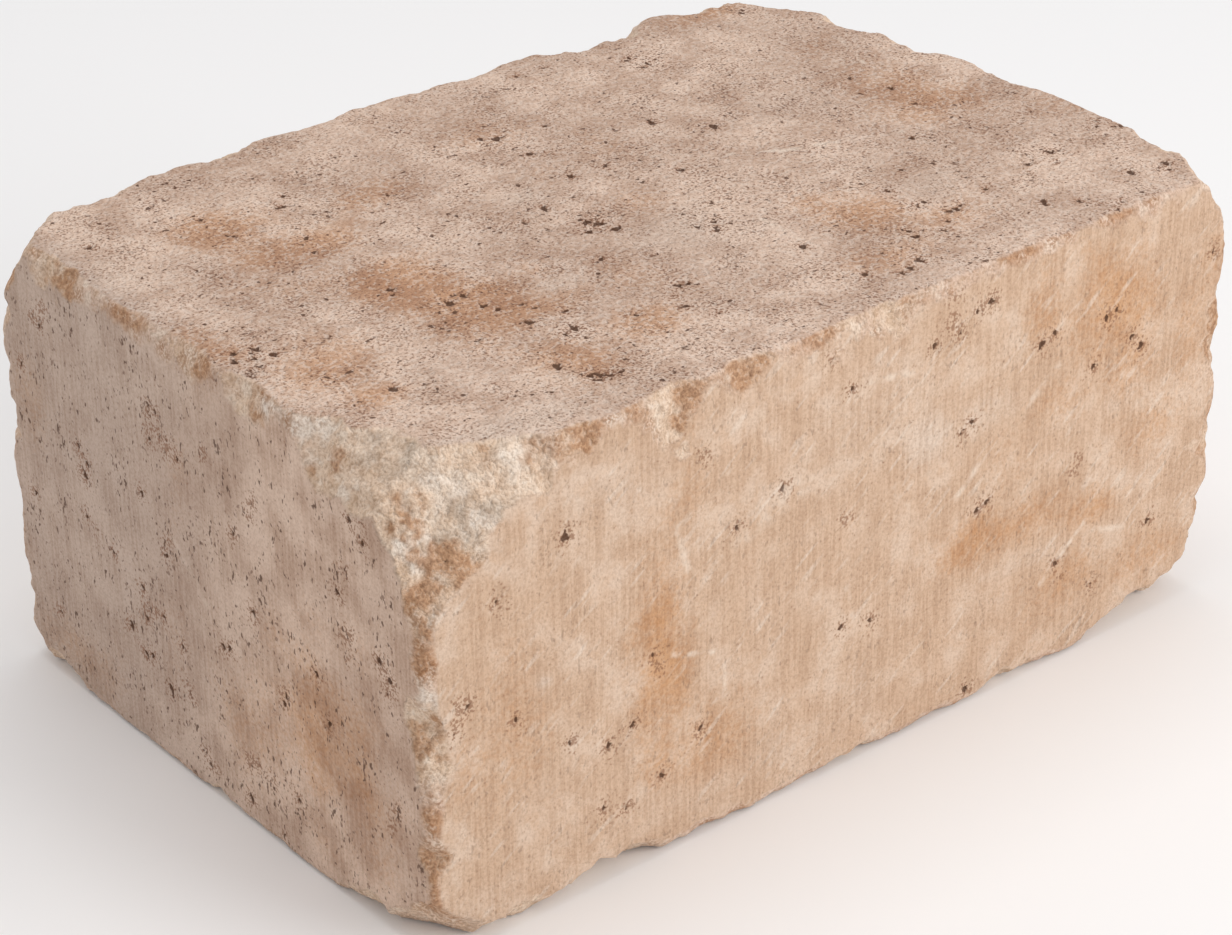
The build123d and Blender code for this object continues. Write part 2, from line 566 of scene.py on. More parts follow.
# The larger blow holes, placed on the sides that the photograph shows
MARKED_PITS = {
    Side.FRONT: (
        Pit((45, 111), 1.1), Pit((193, 128.5), 1.0), Pit((188, 127), 0.6), Pit((142, 119), 0.7),
        Pit((118, 98), 0.7, 2.0, 90), Pit((214, 108), 0.9, 1.8), Pit((219, 110), 0.7),
        Pit((240, 108), 1.0), Pit((244, 109), 0.8), Pit((251, 98), 0.9), Pit((255, 94), 1.0),
        Pit((236, 94), 0.9), Pit((188, 93), 0.7), Pit((184, 91), 0.6), Pit((195, 65), 0.8),
        Pit((191, 64), 0.6), Pit((28, 64), 0.6), Pit((66, 46), 0.6), Pit((58, 43), 0.9),
        Pit((76, 26), 0.7, 1.8, 100), Pit((264, 33), 0.9), Pit((241, 20), 0.6),
        Pit((190, 4.5), 1.1), Pit((172, 122), 0.7), Pit((102, 92), 0.7, 1.8), Pit((45, 50), 0.6),
        Pit((56, 24), 0.7), Pit((151, 44), 0.7), Pit((140, 46), 0.6), Pit((23, 101), 0.7),
    ),
    Side.LEFT: (
        Pit((158, 78), 1.2, 1.6, 60), Pit((156, 82), 0.7), Pit((140, 37), 1.0, 1.6),
        Pit((133, 31), 0.8), Pit((130, 32), 0.7), Pit((121, 25), 0.9, 2.0, 95),
        Pit((36, 96), 0.8, 1.9, 20), Pit((48, 66), 0.9), Pit((63, 52), 0.8), Pit((64, 49), 0.7),
        Pit((43, 53), 0.7), Pit((29, 120), 0.7), Pit((83, 92), 0.7), Pit((128, 85), 0.9),
        Pit((76, 71), 0.9, 2.0), Pit((92, 53), 0.7), Pit((89, 54), 0.7), Pit((146, 58), 0.7),
        Pit((180, 23), 0.7), Pit((84, 8), 1.1), Pit((188, 101), 0.8), Pit((188, 59), 0.7),
        Pit((160, 86), 0.7), Pit((132, 53), 0.7), Pit((32, 104), 0.6), Pit((19, 84), 0.8),
        Pit((15, 80), 0.8), Pit((113, 43), 0.6), Pit((60, 20), 0.7), Pit((108, 104), 0.6),
    ),
    Side.TOP: (
        Pit((61, 94), 1), Pit((60, 91), 0.78), Pit((68, 77), 1.1, 1.9), Pit((72, 80), 0.78),
        Pit((84, 44), 1.1, 1.9), Pit((67, 30), 0.94, 2.2, 70), Pit((80, 43), 0.78),
        Pit((180, 15), 1.3), Pit((175, 13), 0.94), Pit((171, 12), 0.86), Pit((163, 18), 0.78),
        Pit((114, 103), 0.86), Pit((124, 107), 0.86, 2.2), Pit((143, 119), 0.86), Pit((155, 118), 0.7),
        Pit((185, 133), 1.1, 2.0), Pit((197, 119), 0.94, 2.6), Pit((217, 61), 0.78),
        Pit((226, 36), 0.86), Pit((204, 53), 0.78), Pit((207, 41), 0.78), Pit((213, 33), 0.7),
        Pit((160, 152), 0.86), Pit((143, 153), 0.78), Pit((96, 143), 0.78), Pit((47, 163), 0.78),
        Pit((265, 17), 0.94, 2.0), Pit((232, 19), 0.86, 2.4), Pit((240, 13), 0.78),
        Pit((235, 75), 0.86, 2.4), Pit((256, 106), 0.94, 2.0), Pit((101, 40), 0.78),
        Pit((162, 42), 0.78, 2.0), Pit((115, 71), 0.7), Pit((252, 120), 0.78), Pit((62, 134), 0.86),
        Pit((14, 168), 0.78), Pit((177, 187), 0.7), Pit((187, 187), 0.7), Pit((198, 24), 0.78),
    ),
}


@dataclass(frozen=True)
class Patch:
    """A stained or bleached area of one side, fading out over its reach."""

    at: tuple[float, float]
    reach: tuple[float, float]
    strength: float


# How a patch and a spot end, and how far in from its side a patch still shows
PATCH_FADE = Fade(1.55, 0.05, 0.7)
SPOT_FADE = Fade(1.5, 0.1, 0.6)
PATCH_DEPTH = 16.0

# Faint rust all over, where the clouds are dense: they stand in for the distance
RUST_HAZE = Fade(0.1, 0.7, 0.35)
RUST_HAZE_STRENGTH = 0.3

# Painted shade: the left end, which faces away from the key light, greys in from its face and from the
# front
SHADED_END_DEPTH = 12.0
SHADED_END_FROM = 40.0
SHADED_END_WHOLE = 150.0

RUST_PATCHES = {
    Side.FRONT: (
        Patch((76, 62), (11, 36), 0.68), Patch((93, 30), (16, 16), 0.48),
        Patch((28, 66), (11, 22), 0.36), Patch((16, 58), (12, 16), 0.28),
        Patch((216, 118), (12, 14), 0.48), Patch((243, 112), (20, 20), 0.64),
        Patch((252, 92), (13, 12), 0.48), Patch((222, 88), (14, 10), 0.36),
        Patch((190, 54), (16, 11), 0.6), Patch((214, 52), (18, 9), 0.48),
        Patch((236, 48), (12, 9), 0.6), Patch((262, 64), (16, 12), 0.4),
        Patch((230, 26), (16, 12), 0.44), Patch((262, 22), (18, 10), 0.44),
        Patch((276, 92), (9, 20), 0.4), Patch((84, 112), (10, 18), 0.28),
    ),
    Side.LEFT: (
        Patch((44, 48), (26, 34), 0.55), Patch((78, 34), (24, 22), 0.35),
        Patch((172, 12), (26, 10), 0.4), Patch((24, 30), (18, 20), 0.3),
        Patch((186, 92), (12, 16), 0.3),
    ),
    Side.TOP: (
        Patch((66, 92), (16, 20), 0.85), Patch((76, 66), (22, 16), 0.85),
        Patch((22, 70), (18, 14), 0.6), Patch((6, 96), (8, 14), 0.7), Patch((58, 132), (20, 12), 0.65),
        Patch((48, 154), (18, 14), 0.6), Patch((92, 146), (12, 10), 0.5),
        Patch((72, 30), (12, 16), 0.6), Patch((98, 34), (16, 12), 0.55),
        Patch((188, 48), (14, 18), 0.65), Patch((176, 22), (18, 10), 0.5),
        Patch((206, 30), (16, 10), 0.45), Patch((258, 98), (18, 26), 0.55),
        Patch((148, 92), (10, 10), 0.4), Patch((256, 188), (20, 8), 0.6),
        Patch((140, 158), (16, 10), 0.35), Patch((22, 48), (10, 8), 0.7),
    ),
    Side.BACK: (
        Patch((84, 66), (22, 28), 0.6), Patch((210, 84), (26, 20), 0.6),
        Patch((150, 30), (30, 14), 0.4),
    ),
    Side.RIGHT: (
        Patch((66, 58), (26, 24), 0.5), Patch((150, 88), (22, 18), 0.4),
    ),
    Side.BED: (
        Patch((96, 82), (30, 26), 0.6), Patch((206, 130), (28, 22), 0.6),
    ),
}

PALE_PATCHES = {
    Side.FRONT: (
        Patch((172, 92), (15, 9), 0.8), Patch((196, 94), (14, 8), 0.6),
        Patch((148, 108), (30, 22), 0.4), Patch((62, 118), (26, 14), 0.35),
        Patch((110, 16), (60, 10), 0.35), Patch((37, 71), (3.2, 3.2), 0.9),
        Patch((146, 24), (16, 14), 0.4), Patch((214, 40), (30, 4), 0.5), Patch((12, 12), (26, 10), 0.4),
    ),
    Side.LEFT: (
        Patch((70, 58), (10, 8), 0.35), Patch((120, 120), (40, 12), 0.25),
    ),
    Side.TOP: (
        Patch((26, 12), (52, 10), 0.65), Patch((76, 138), (10, 12), 0.45),
        Patch((98, 66), (12, 8), 0.5), Patch((142, 70), (26, 22), 0.45),
        Patch((124, 116), (10, 8), 0.5), Patch((216, 48), (16, 12), 0.45),
        Patch((224, 116), (14, 14), 0.4), Patch((66, 26), (6, 10), 0.6),
        Patch((10, 150), (12, 34), 0.35),
    ),
    Side.BACK: (
        Patch((140, 100), (36, 20), 0.5),
    ),
    Side.RIGHT: (
        Patch((100, 40), (30, 20), 0.4),
    ),
    Side.BED: (
        Patch((150, 60), (40, 30), 0.4),
    ),
}


@dataclass(frozen=True)
class Spot:
    """A spot of another colour on a broken place, by its middle in the block and its reach."""

    at: tuple[float, float, float]
    reach: float
    strength: float = 0.9


RUST_SPOTS = (
    Spot((6, 15, 124), 6.0), Spot((5, 12, 120), 4.0), Spot((9, 6, 115), 5.5),
    Spot((3, 4, 107), 7.5), Spot((15, 0, 110), 7.0), Spot((0, 25, 133), 3.0, 1.0),
    Spot((28, 9, 136), 4.0, 0.5), Spot((14, 53, 139), 9.0, 0.8), Spot((22, 43, 139), 8.0, 0.8),
    Spot((2, 68, 139), 7.0), Spot((0, 39, 130), 6.0, 0.8), Spot((24, 33, 138), 6.0, 0.7),
    Spot((43, 3, 137), 7.0, 0.6), Spot((2, 2, 92), 8.0, 0.8), Spot((54, 1, 137), 7.0, 0.9),
    Spot((69, 1, 136), 6.0, 0.7), Spot((89, 1, 134), 9.0), Spot((104, 1, 137), 9.0),
    Spot((131, 1, 139), 8.0, 0.8), Spot((165, 2, 139), 7.0, 0.6), Spot((205, 1, 139), 8.0, 0.7),
    Spot((243, 1, 138), 8.0, 0.7), Spot((7, 1, 25), 14.0), Spot((1, 5, 66), 8.0, 0.8),
    Spot((1, 1, 46), 7.0, 0.7), Spot((1, 93, 136), 8.0, 0.7), Spot((1, 131, 136), 9.0, 0.7),
    Spot((1, 161, 136), 9.0, 0.8), Spot((2, 186, 120), 12.0, 0.8), Spot((289, 2, 112), 12.0, 0.8),
    Spot((288, 1, 90), 13.0, 0.8), Spot((289, 1, 62), 9.0, 0.7), Spot((288, 1, 38), 12.0, 0.8),
)
WHITE_SPOTS = (
    Spot((1, 47, 137), 6.0), Spot((0, 42, 132), 5.5), Spot((0, 27, 135), 3.4, 1.0),
    Spot((0, 32, 127), 3.6, 1.0), Spot((6, 10, 117), 5.0, 1.0), Spot((22, 2, 122), 4.6, 0.8),
    Spot((17, 12, 131), 8.0, 0.6), Spot((37, 4, 137), 8.0, 0.6), Spot((62, 1, 136), 5.0, 0.7),
    Spot((1, 2, 80), 5.0, 0.7), Spot((1, 63, 138), 6.0, 0.8),
)
GREY_SPOTS = (
    Spot((5, 31, 138), 8.0), Spot((15, 6, 121), 7.5), Spot((5, 56, 139), 7.0, 0.7),
    Spot((6, 0, 102), 5.0), Spot((11, 20, 136), 6.0), Spot((27, 0, 124), 6.0, 0.7),
    Spot((18, 36, 138), 9.0, 0.6), Spot((96, 1, 131), 8.0, 0.6),
)


# Broad patterns that the material reads from the mesh, and the noise that bends the spots
CLOUDS = Bumps(46, 2, 47)
WANDER = Bumps(16, 3, 41)
MOTTLE = Bumps(13, 3, 51)
CLUSTERS = Bumps(11, 2, 53)
LUMPS = Bumps(6.5, 2, 57)
SPOT_BEND = Bumps(7, 3, 71, 8.0)


@dataclass(frozen=True)
class SkinRelief:
    """Unevenness of the moulded sides and of the rougher top and bed.

    The moulded sides have a slow swell and a fine tooth. The top and bed add grains, and
    crevices, which open where a wide noise passes through zero."""

    swell: Bumps = Bumps(34, 1, 3, 0.14)
    tooth: Bumps = Bumps(3.0, 1, 4, 0.03)
    grain: Bumps = Bumps(4.2, 2, 5, 0.42)
    grain_rise: float = 0.9
    veins: Bumps = Bumps(6.0, 1, 8, 0.45)
    vein_bend: Bumps = Bumps(4, 2, 61, 1.8)
    vein_half_width: float = 0.12
    open_ground: Bumps = Bumps(11, 2, 9)
    open_from: float = 0.15
    open_whole: float = 0.6

    def depths(self, points: Array, flatness: Array) -> tuple[Array, Array]:
        """Depth of the relief at each place.

        Args:
            points: (n, 3) places in millimetres.
            flatness: (n,) how far each place belongs to the top or bed, 0 to 1.

        Returns:
            (n,) depths in millimetres, and (n,) how deep in a crevice each place is.
        """
        swell = self.swell.height * (1 + self.swell.at(points))
        tooth = self.tooth.height * (1 + self.tooth.at(points))
        grain = self.grain.height * (self.grain_rise + self.grain.at(points))
        veins = np.abs(self.veins.at(self.vein_bend.bend(points)))
        open_here = ease(self.open_from, self.open_whole, self.open_ground.at(points))
        crevice = ease(self.vein_half_width, 0.0, veins) * open_here * flatness
        return swell + tooth + flatness * grain + self.veins.height * crevice, crevice


@dataclass(frozen=True)
class Height:
    """Height in millimetres of a relief where rubbed, and what a new break adds to it."""

    rubbed: float
    added: float

    def at(self, freshness: Array) -> Array:
        """Height at each freshness, from 0 where rubbed to 1 where newly broken."""
        return self.rubbed + self.added * freshness


@dataclass(frozen=True)
class BreakRelief:
    """Unevenness of worn and broken concrete.

    It is layered noise and domes of small stones, and scoops with a ridge between two of
    them, which are the size of a wide noise whichever its sign."""

    lumps: Bumps = Bumps(11, 3, 21)
    lump_height: Height = Height(0.7, 1.2)
    scoops: Bumps = Bumps(13, 1, 29)
    scoop_height: Height = Height(0.3, 2.8)
    mean_scoop: float = 0.28
    grit: Bumps = Bumps(3.0, 2, 24)
    grit_height: Height = Height(0.45, 0.35)
    stone_width: float = 5.0
    stone_seed: int = 27
    stone_height: Height = Height(0.3, 0.3)
    mean_stone: float = 0.45

    def depths(self, points: Array, freshness: Array) -> Array:
        """Depth of the relief at each place.

        Args:
            points: (n, 3) places in millimetres.
            freshness: (n,) 0 where rubbed, 1 where newly broken.

        Returns:
            (n,) depths in millimetres, about zero on average.
        """
        scoops = np.abs(self.scoops.at(points)) - self.mean_scoop
        stones = stone_dome(points, self.stone_width, self.stone_seed) - self.mean_stone
        depth = self.lump_height.at(freshness) * self.lumps.at(points)
        depth = depth + self.scoop_height.at(freshness) * scoops
        depth = depth + self.grit_height.at(freshness) * self.grit.at(points)
        return depth - self.stone_height.at(freshness) * stones


@dataclass
class BlockMesh:
    """The block's visible surface, from a fine lattice laid over its six sides.

    Each lattice place on the mould's cuboid slides along its own ray towards a smaller
    cuboid inside, the core, until it meets the worn form, less the relief there. Where
    it is within a margin of a break or of the core's edges it is slid in by halving, and
    on the flat of a side the relief alone moves it."""

    form: WornForm
    spacing: float = SPACING
    skin: SkinRelief = SkinRelief()
    breaks: BreakRelief = BreakRelief()
    pit_shape: PitShape = PitShape()
    core_inset: float = 18.0
    core_margin: float = 1.0
    break_margin: float = 3.0
    solve_steps: int = 13
    soft_join: float = 0.22
    worn_from: float = -0.25
    worn_whole: float = 0.5
    hollow_shade_from: float = 0.1
    hollow_shade_whole: float = 0.5
    crevice_shade_share: float = 0.5
    front_margin: float = 1.5
    most_triangles: int = 190_000
    seed: int = 7

    def side_axes(self, side: Side) -> tuple[int, int]:
        """The two axes that span a side, lower number first."""
        spans = tuple(axis for axis in range(3) if axis != side.axis)
        return spans[0], spans[1]

    def lines(self) -> list[Array]:
        """Lattice lines along each axis, evenly spaced from 0 to the side's length."""
        counts = [round(length / self.spacing) for length in self.form.size]
        return [np.linspace(0, length, count + 1) for length, count in zip(self.form.size, counts)]

    def lattice(self) -> tuple[Array, Array, dict[Side, Array]]:
        """Lays one lattice over each side and merges what they share at the edges.

        Returns:
            (n, 3) places on the cuboid, (m, 4) corners of its squares with their faces
            outwards, and for each side the place number at each of its lattice crossings.
        """
        lines = self.lines()
        counts = [len(line) for line in lines]
        keys: dict[Side, Array] = {}
        for side in Side:
            low, high = self.side_axes(side)
            steps = [np.zeros(1, int)] * 3
            steps[low], steps[high] = np.arange(counts[low]), np.arange(counts[high])
            steps[side.axis] = np.array([counts[side.axis] - 1 if side.is_far else 0])
            grid = np.meshgrid(*steps, indexing="ij")
            key = (grid[0] * counts[1] + grid[1]) * counts[2] + grid[2]
            keys[side] = key.reshape(counts[low], counts[high])
        every_key = np.concatenate([key.ravel() for key in keys.values()])
        unique, inverse = np.unique(every_key, return_inverse=True)
        inverse = inverse.ravel()
        steps = (unique // (counts[1] * counts[2]), unique // counts[2] % counts[1], unique % counts[2])
        places = np.stack([line[step] for line, step in zip(lines, steps)], 1)
        numbers: dict[Side, Array] = {}
        squares, start = [], 0
        for side, key in keys.items():
            ids = inverse[start:start + key.size].reshape(key.shape)
            start += key.size
            numbers[side] = ids
            loop = [ids[:-1, :-1], ids[1:, :-1], ids[1:, 1:], ids[:-1, 1:]]
            square = np.stack([corner.ravel() for corner in loop], 1)
            low_by_high_is_outward = (side.axis != 1) == side.is_far
            squares.append(square if low_by_high_is_outward else square[:, ::-1])
        return places, np.concatenate(squares), numbers

    def pits(self, numbers: dict[Side, Array], count: int) -> tuple[Array, Array]:
        """Depth of the blow holes, and the stained ground round them, at each place.

        A pit is a stretched bowl, depth times one minus the fourth power of the distance
        from its middle, and where two meet the deeper one stays.

        Args:
            numbers: place number at each lattice crossing of each side.
            count: how many places there are.

        Returns:
            (count,) depths in millimetres, and (count,) nearness to a hole, at most the
            ring's strength.
        """
        shape, random = self.pit_shape, np.random.default_rng(self.seed)
        depths, rings = np.zeros(count), np.zeros(count)
        lines = self.lines()
        for spread in PIT_SPREADS:
            low, high = self.side_axes(spread.side)
            extent = np.array([self.form.size[low], self.form.size[high]])
            middles = random.uniform(0, 1, (spread.clusters, 2)) * extent
            holes = list(MARKED_PITS.get(spread.side, ()))
            for middle in middles:
                members = random.poisson(spread.per_cluster)
                offsets = random.normal(0, spread.cluster_reach / 2, (members, 2))
                radii = random.uniform(*spread.radius, members) ** shape.radius_power
                turns = spread.turn + random.normal(0, spread.turn_spread, members)
                for offset, radius, turn in zip(offsets, radii, turns):
                    at = tuple(middle + offset)
                    stretch = random.uniform(*shape.stretches)
                    depth = spread.depth * min(1.0, radius)
                    holes.append(Pit(at, radius, stretch, turn, depth))
            self.stamp(holes, (lines[low], lines[high]), numbers[spread.side], depths, rings)
        return depths, rings

    def stamp(self, holes: list[Pit], lines: tuple[Array, Array], ids: Array,
              depths: Array, rings: Array) -> None:
        """Presses holes into one side's lattice.

        Args:
            holes: the pits.
            lines: lattice lines along the side's two axes.
            ids: place number at each lattice crossing.
            depths: depth at every place, deepened here.
            rings: nearness to a hole at every place, raised here.
        """
        shape = self.pit_shape
        for hole in holes:
            ring = shape.ring_start + shape.ring_growth * hole.radius
            reach = max(ring, hole.radius * hole.stretch * shape.widest)
            first, second = (
                slice(*np.searchsorted(line, (middle - reach, middle + reach)))
                for line, middle in zip(lines, hole.at)
            )
            if first.start >= first.stop or second.start >= second.stop:
                continue
            offsets = (line[part] - middle for line, part, middle in zip(lines, (first, second), hole.at))
            a, b = np.meshgrid(*offsets, indexing="ij")
            turn = math.radians(hole.turn)
            along = (a * math.cos(turn) + b * math.sin(turn)) / (hole.radius * hole.stretch)
            across = (b * math.cos(turn) - a * math.sin(turn)) / hole.radius
            bearing = np.arctan2(across, along)
            ragged = 1
            for lobes, swing, start in shape.lobes:
                ragged = ragged + swing * np.sin(lobes * bearing + start * hole.radius)
            off_middle = np.hypot(along, across) * ragged
            bowl = hole.depth * (1 - np.clip(off_middle, 0, 1) ** shape.bowl_power)
            chosen = ids[first, second]
            depths[chosen] = np.maximum(depths[chosen], bowl)
            stained = shape.ring_strength * ease(ring, 0.0, np.hypot(a, b))
            rings[chosen] = np.maximum(rings[chosen], stained)

    def patch_field(self, patches: dict[Side, tuple[Patch, ...]], points: Array, noise: Array) -> Array:
        """Strength of stained or bleached patches at each place.

        Each patch is its strength times a smooth fall with the elliptic distance from its
        middle, with the distance made uneven by noise, and the strongest patch counts.

        Args:
            patches: the patches of each side.
            points: (n, 3) places in millimetres.
            noise: (n,) noise that bends the outlines.

        Returns:
            (n,) strengths from 0 to 1.
        """
        strength = np.zeros(len(points))
        for side, group in patches.items():
            low, high = self.side_axes(side)
            near_side = ease(PATCH_DEPTH, 0, self.form.depth_from(side, points))
            for patch in group:
                off = np.hypot((points[:, low] - patch.at[0]) / patch.reach[0],
                               (points[:, high] - patch.at[1]) / patch.reach[1])
                fall = PATCH_FADE.strength(off, noise)
                strength = np.maximum(strength, patch.strength * fall * near_side)
        return strength

    @staticmethod
    def spot_field(spots: tuple[Spot, ...], points: Array, noise: Array) -> Array:
        """Strength of the spots at each place, each fading with the distance from its middle.

        Args:
            spots: the spots.
            points: (n, 3) places in millimetres, bent by noise.
            noise: (n,) noise that makes the distance uneven.

        Returns:
            (n,) strengths from 0 to 1.
        """
        strength = np.zeros(len(points))
        for spot in spots:
            off = np.linalg.norm(points - np.array(spot.at), axis=1) / spot.reach
            strength = np.maximum(strength, spot.strength * SPOT_FADE.strength(off, noise))
        return strength

    def slide_in(self, places: Array, targets: Array, side_relief: Array,
                 break_relief: Array) -> Array:
        """Slides places along their rays until they meet the worn form.

        The ray is halved again and again between a point outside and one inside.

        Args:
            places: (n, 3) places on the cuboid.
            targets: (n, 3) places on the core cuboid.
            side_relief: (n,) depths taken off the sides.
            break_relief: (n,) depths taken off the breaks.

        Returns:
            (n, 3) places on the worn surface.
        """
        outside, inside = np.zeros(len(places)), np.ones(len(places))
        rays = targets - places
        for _ in range(self.solve_steps):
            middle = (outside + inside) / 2
            points = places + middle[:, None] * rays
            sides = self.form.depth_below_sides(points) - side_relief
            breaks = self.form.depth_below_breaks(points)[0] - break_relief
            gap = np.abs(sides - breaks)
            depth = np.minimum(sides, breaks) - self.soft_join * np.exp(-gap / self.soft_join)
            is_inside = depth > 0
            inside = np.where(is_inside, middle, inside)
            outside = np.where(is_inside, outside, middle)
        return places + ((outside + inside) / 2)[:, None] * rays

    def surface(self) -> tuple[Array, Array, dict[str, Array]]:
        """Works out the finished surface and what its material reads from it.

        Returns:
            (n, 3) vertices, (m, 4) squares and the named shares at each vertex.
        """
        places, squares, numbers = self.lattice()
        form, count = self.form, len(places)
        size = np.array(form.size)
        targets = np.clip(places, self.core_inset, size - self.core_inset)
        plain = form.depth_below_breaks(places)[0]
        side_depths = np.stack([form.depth_from(side, places) for side in Side], 1)
        edge_distance = np.sort(side_depths, 1)[:, 1]
        near_core = edge_distance < self.core_inset + self.core_margin
        near_edge = (plain < self.break_margin) | near_core
        flatness = self.side_share(numbers, (Side.TOP, Side.BED), count)
        pits, rings = self.pits(numbers, count)
        side_relief, crevice = self.skin.depths(places, flatness)
        side_relief = side_relief + pits
        still = np.zeros(int(near_edge.sum()))
        smooth = self.slide_in(places[near_edge], targets[near_edge], still, still)
        freshness = form.depth_below_breaks(smooth)[1]
        broken_relief = self.breaks.depths(smooth, freshness)
        rays = targets - places
        depth_share = side_relief / np.linalg.norm(rays, axis=1)
        vertices = places + depth_share[:, None] * rays
        vertices[near_edge] = self.slide_in(
            places[near_edge], targets[near_edge], side_relief[near_edge], broken_relief)
        worn, fresh = np.zeros(count), np.zeros(count)
        edge = vertices[near_edge]
        breaks, freshness = form.depth_below_breaks(edge)
        sides = form.depth_below_sides(edge) - side_relief[near_edge]
        past_break = sides - (breaks - broken_relief)
        worn[near_edge] = ease(self.worn_from, self.worn_whole, past_break)
        fresh[near_edge] = worn[near_edge] * freshness
        # Painted shade: darker the deeper a pit is, and in the crevices of the top and bed
        hollow = ease(self.hollow_shade_from, self.hollow_shade_whole, pits) + self.crevice_shade_share * crevice
        return vertices, squares, self.shares(vertices, worn, fresh, flatness, hollow, rings)

    @staticmethod
    def side_share(numbers: dict[Side, Array], sides: tuple[Side, ...], count: int) -> Array:
        """Marks the places of some sides.

        Args:
            numbers: place number at each lattice crossing of each side.
            sides: the sides to mark.
            count: how many places there are.

        Returns:
            (count,) ones on those sides and zeros elsewhere.
        """
        share = np.zeros(count)
        for side in sides:
            share[numbers[side].ravel()] = 1.0
        return share

    def shares(self, vertices: Array, worn: Array, fresh: Array, flatness: Array,
               hollow: Array, rings: Array) -> dict[str, Array]:
        """Shares that the material reads at each vertex.

        Args:
            vertices: (n, 3) finished places.
            worn: (n,) where the arrises and corners are worn or broken.
            fresh: (n,) where the break is new.
            flatness: (n,) how far each place belongs to the top or bed.
            hollow: (n,) how deep in a hole or crevice each place is, where the material paints shade.
            rings: (n,) nearness to a hole.

        Returns:
            Named (n,) shares from 0 to 1. Clouds, mottle, clusters and lumps are noises of
            smaller and smaller width, with a mean of a half.
        """
        half_depth = self.form.size[1] / 2
        skin = 1 - worn
        clouds, wander, lumps = (bumps.at(vertices) for bumps in (CLOUDS, WANDER, LUMPS))
        bent = SPOT_BEND.bend(vertices)
        haze = RUST_HAZE_STRENGTH * RUST_HAZE.strength(clouds, wander)
        far_from_front = ease(SHADED_END_FROM, SHADED_END_WHOLE, vertices[:, 1])
        upright = np.abs(vertices[:, 1] - half_depth) > half_depth - self.front_margin
        shares = {
            "worn": worn,
            "fresh": fresh,
            "moulded": skin * (1 - flatness),
            "level": skin * flatness,
            "front": skin * (1 - flatness) * upright,
            "open": np.maximum(worn, flatness),
            # Painted shade in the holes and crevices, kept off the worn arrises
            "hollow": np.clip(hollow, 0, 1) * skin,
            "ring": rings * skin,
            # Painted shade on the left end, greying more towards the back
            "grey": far_from_front * ease(SHADED_END_DEPTH, 0.0, vertices[:, 0]),
            "rust": np.maximum(self.patch_field(RUST_PATCHES, vertices, wander), haze),
            "pale": self.patch_field(PALE_PATCHES, vertices, -wander),
            "rust spot": self.spot_field(RUST_SPOTS, bent, lumps),
            "white spot": self.spot_field(WHITE_SPOTS, bent, -lumps),
            "grey spot": self.spot_field(GREY_SPOTS, bent, wander),
            "clouds": (1 + clouds) / 2,
            "mottle": (1 + MOTTLE.at(vertices)) / 2,
            "clusters": (1 + CLUSTERS.at(vertices)) / 2,
            "lumps": (1 + lumps) / 2,
        }
        return {name: np.clip(share, 0, 1) for name, share in shares.items()}

    def keep_inside(self, mesh: bpy.types.Mesh) -> None:
        """Brings back what thinning pushed outside the mould's cuboid.

        Args:
            mesh: the thinned mesh, in the row frame in metres.
        """
        length, depth, height = self.form.size
        flat = np.empty(3 * len(mesh.vertices), np.float32)
        mesh.vertices.foreach_get("co", flat)
        low = np.array([-length / 2, -depth / 2, 0]) * METRES
        high = np.array([length / 2, depth / 2, height]) * METRES
        kept = np.clip(flat.reshape(-1, 3), low, high)
        mesh.vertices.foreach_set("co", kept.astype(np.float32).ravel())

    def build(self) -> bpy.types.Object:
        """Makes the block's object: the lattice mesh, thinned where it is nearly flat.

        Returns:
            The finished object, with its mesh in the row frame in metres.
        """
        vertices, squares, shares = self.surface()
        length, depth, _ = self.form.size
        placed = (vertices - np.array([length / 2, depth / 2, 0])) * METRES
        mesh = bpy.data.meshes.new("block_lattice")
        mesh.vertices.add(len(placed))
        mesh.vertices.foreach_set("co", placed.astype(np.float32).ravel())
        mesh.loops.add(squares.size)
        mesh.loops.foreach_set("vertex_index", squares.astype(np.int32).ravel())
        mesh.polygons.add(len(squares))
        mesh.polygons.foreach_set("loop_start", np.arange(0, squares.size, 4, dtype=np.int32))
        for name, share in shares.items():
            layer = mesh.attributes.new(name, "FLOAT", "POINT")
            layer.data.foreach_set("value", share.astype(np.float32))
        mesh.update(calc_edges=True)
        lattice = bpy.data.objects.new("block_lattice", mesh)
        bpy.context.scene.collection.objects.link(lattice)
        thin = lattice.modifiers.new("thin", "DECIMATE")
        thin.ratio = min(1.0, self.most_triangles / (2 * len(squares)))
        graph = bpy.context.evaluated_depsgraph_get()
        thinned = bpy.data.meshes.new_from_object(lattice.evaluated_get(graph))
        bpy.data.objects.remove(lattice)
        bpy.data.meshes.remove(mesh)
        thinned.name = "tumbled_block"
        self.keep_inside(thinned)
        thinned.polygons.foreach_set("use_smooth", np.ones(len(thinned.polygons), bool))
        block = bpy.data.objects.new("tumbled_block", thinned)
        bpy.context.scene.collection.objects.link(block)
        return block


Socket = bpy.types.NodeSocket
Tree = bpy.types.NodeTree


def add_node(tree: Tree, kind: str, inputs: dict | None = None, **settings: object) -> bpy.types.Node:
    """Adds one node with its settings, its constants and its links.

    Args:
        tree: the node tree to add to.
        kind: the node's type name, without the words ShaderNode.
        inputs: a constant, or a socket to link, by input name or number.
        settings: properties of the node.

    Returns:
        The new node.
    """
    node = tree.nodes.new(f"ShaderNode{kind}")
    for name, value in settings.items():
        setattr(node, name, value)
    for key, value in (inputs or {}).items():
        if isinstance(value, bpy.types.NodeSocket):
            tree.links.new(value, node.inputs[key])
        else:
            node.inputs[key].default_value = value
    return node


